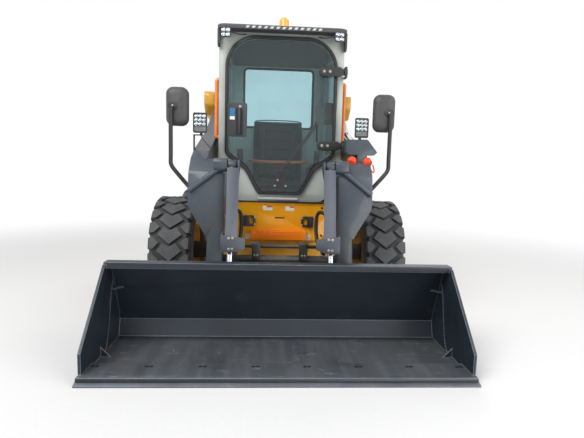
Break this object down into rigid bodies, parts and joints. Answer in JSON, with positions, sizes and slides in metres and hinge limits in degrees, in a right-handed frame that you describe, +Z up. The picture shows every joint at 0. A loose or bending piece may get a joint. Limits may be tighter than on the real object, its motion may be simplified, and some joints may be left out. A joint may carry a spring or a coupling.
{
  "type": "skid steer loader",
  "caption": "Wheeled skid steer loader with an enclosed cab, lift arms on rear towers, a wide dirt bucket on a quick coupler, hinged front door and rear engine door.",
  "frame": {"origin": "centre of the bounding box at ground level", "axes": "+Z up, -Y forward over the bucket, +X to the operator's left"},
  "size_m": [2, 3.45, 2.21],
  "materials": {
    "frame_yellow": "semi-gloss",
    "panel_yellow": "semi-gloss",
    "signal_orange": "satin",
    "rail_orange": "satin",
    "black_steel": "satin",
    "engine_iron": "matte",
    "cab_grey": "satin",
    "roof_charcoal": "matte",
    "tinted_glass": "gloss",
    "lamp_glass": "gloss",
    "lamp_red": "gloss",
    "beacon_amber": "gloss",
    "arm_slate": "satin",
    "guard_violet": "satin",
    "rod_chrome": "polished",
    "bucket_steel": "satin",
    "edge_steel": "worn",
    "seat_vinyl": "satin",
    "cab_plastic": "matte",
    "tyre_rubber": "matte",
    "rim_paint": "satin",
    "hub_iron": "matte"
  },
  "bodies": {
    "chassis": {"main_frame": "frame_yellow", "arm_towers": "frame_yellow", "front_panel": "panel_yellow", "front_step": "signal_orange", "tie_down_loops": "black_steel", "engine_block": "engine_iron", "side_panels": "frame_yellow", "engine_hood": "frame_yellow", "exhaust_pipe": "black_steel", "rear_bumper": "black_steel", "tail_lamps": "lamp_red", "axle_tubes": "black_steel", "cab_front_frame": "cab_grey", "cab_shell": "cab_grey", "cab_roof": "roof_charcoal", "cab_windows": "tinted_glass", "cab_lamps": "lamp_glass", "beacon": "beacon_amber", "grab_rails": "rail_orange", "door_hinges": "black_steel", "gate_hinges": "black_steel", "seat_base": "cab_plastic", "seat": "seat_vinyl", "control_consoles": "cab_plastic", "control_levers": "cab_plastic"},
    "boom": {"arm_left": "arm_slate", "arm_right": "arm_slate", "cross_tube": "arm_slate", "arm_lamps": "lamp_glass", "mirror_tubes": "black_steel", "mirrors": "cab_plastic", "coupler_block": "cab_plastic", "tilt_guards": "guard_violet"},
    "bucket": {"quick_coupler": "black_steel", "bucket_shell": "bucket_steel", "cutting_edge": "edge_steel"},
    "door": {"door_frame": "black_steel", "door_glass": "tinted_glass", "door_fittings": "cab_plastic"},
    "tailgate": {"tailgate": "frame_yellow"},
    "lift_barrel_left": {"lift_barrel_left": "frame_yellow"},
    "lift_rod_left": {"lift_rod_left": "rod_chrome"},
    "tilt_barrel_left": {"tilt_barrel_left": "arm_slate"},
    "tilt_rod_left": {"tilt_rod_left": "rod_chrome"},
    "lift_barrel_right": {"lift_barrel_right": "frame_yellow"},
    "lift_rod_right": {"lift_rod_right": "rod_chrome"},
    "tilt_barrel_right": {"tilt_barrel_right": "arm_slate"},
    "tilt_rod_right": {"tilt_rod_right": "rod_chrome"},
    "wheel_front_left": {"tyre_front_left": "tyre_rubber", "rim_front_left": "rim_paint", "hub_front_left": "hub_iron"},
    "wheel_front_right": {"tyre_front_right": "tyre_rubber", "rim_front_right": "rim_paint", "hub_front_right": "hub_iron"},
    "wheel_rear_left": {"tyre_rear_left": "tyre_rubber", "rim_rear_left": "rim_paint", "hub_rear_left": "hub_iron"},
    "wheel_rear_right": {"tyre_rear_right": "tyre_rubber", "rim_rear_right": "rim_paint", "hub_rear_right": "hub_iron"}
  },
  "joints": [
    {"name": "boom_lift", "type": "hinge", "parent": "chassis", "child": "boom", "pos_m": [0, 0.9, 1.64], "axis": [-1, 0, 0], "range_deg": [0, 75]},
    {"name": "bucket_tilt", "type": "hinge", "parent": "boom", "child": "bucket", "pos_m": [0, -0.97, 0.215], "axis": [1, 0, 0], "range_deg": [-25, 110]},
    {"name": "cab_door", "type": "hinge", "parent": "chassis", "child": "door", "pos_m": [0.463, -0.47, 1.5], "axis": [0, 0, 1], "range_deg": [0, 60]},
    {"name": "tailgate_swing", "type": "hinge", "parent": "chassis", "child": "tailgate", "pos_m": [-0.447, 1.68, 0.8], "axis": [0, 0, 1], "range_deg": [0, 100]},
    {"name": "lift_barrel_left_swing", "type": "hinge", "parent": "chassis", "child": "lift_barrel_left", "pos_m": [0.543, 1.029, 0.648], "axis": [-1, 0, 0], "range_deg": [-1, 11.23]},
    {"name": "lift_rod_left_slide", "type": "slide", "parent": "lift_barrel_left", "child": "lift_rod_left", "axis": [0, -0.533, 0.8461], "range_m": [-0.005, 0.4908]},
    {"name": "tilt_barrel_left_swing", "type": "hinge", "parent": "boom", "child": "tilt_barrel_left", "pos_m": [0.318, -0.87, 1.075], "axis": [1, 0, 0], "range_deg": [-1.88, 1.2]},
    {"name": "tilt_rod_left_slide", "type": "slide", "parent": "tilt_barrel_left", "child": "tilt_rod_left", "axis": [0, -0.247, -0.969], "range_m": [-0.0575, 0.2394]},
    {"name": "lift_barrel_right_swing", "type": "hinge", "parent": "chassis", "child": "lift_barrel_right", "pos_m": [-0.543, 1.029, 0.648], "axis": [-1, 0, 0], "range_deg": [-1, 11.23]},
    {"name": "lift_rod_right_slide", "type": "slide", "parent": "lift_barrel_right", "child": "lift_rod_right", "axis": [0, -0.533, 0.8461], "range_m": [-0.005, 0.4908]},
    {"name": "tilt_barrel_right_swing", "type": "hinge", "parent": "boom", "child": "tilt_barrel_right", "pos_m": [-0.318, -0.87, 1.075], "axis": [1, 0, 0], "range_deg": [-1.88, 1.2]},
    {"name": "tilt_rod_right_slide", "type": "slide", "parent": "tilt_barrel_right", "child": "tilt_rod_right", "axis": [0, -0.247, -0.969], "range_m": [-0.0575, 0.2394]},
    {"name": "wheel_front_left_spin", "type": "hinge", "parent": "chassis", "child": "wheel_front_left", "pos_m": [0.765, -0.287, 0.414], "axis": [1, 0, 0], "continuous": true},
    {"name": "wheel_front_right_spin", "type": "hinge", "parent": "chassis", "child": "wheel_front_right", "pos_m": [-0.765, -0.287, 0.414], "axis": [1, 0, 0], "continuous": true},
    {"name": "wheel_rear_left_spin", "type": "hinge", "parent": "chassis", "child": "wheel_rear_left", "pos_m": [0.765, 0.815, 0.414], "axis": [1, 0, 0], "continuous": true},
    {"name": "wheel_rear_right_spin", "type": "hinge", "parent": "chassis", "child": "wheel_rear_right", "pos_m": [-0.765, 0.815, 0.414], "axis": [1, 0, 0], "continuous": true}
  ],
  "couplings": [
    {"joint": "lift_barrel_left_swing", "follows": "boom_lift", "ratio": 0.13642},
    {"joint": "lift_rod_left_slide", "follows": "boom_lift", "m_per_rad": 0.37109},
    {"joint": "tilt_barrel_left_swing", "follows": "bucket_tilt", "ratio": -0.008},
    {"joint": "tilt_rod_left_slide", "follows": "bucket_tilt", "m_per_rad": 0.12261},
    {"joint": "lift_barrel_right_swing", "follows": "boom_lift", "ratio": 0.13642},
    {"joint": "lift_rod_right_slide", "follows": "boom_lift", "m_per_rad": 0.37109},
    {"joint": "tilt_barrel_right_swing", "follows": "bucket_tilt", "ratio": -0.008},
    {"joint": "tilt_rod_right_slide", "follows": "bucket_tilt", "m_per_rad": 0.12261}
  ]
}
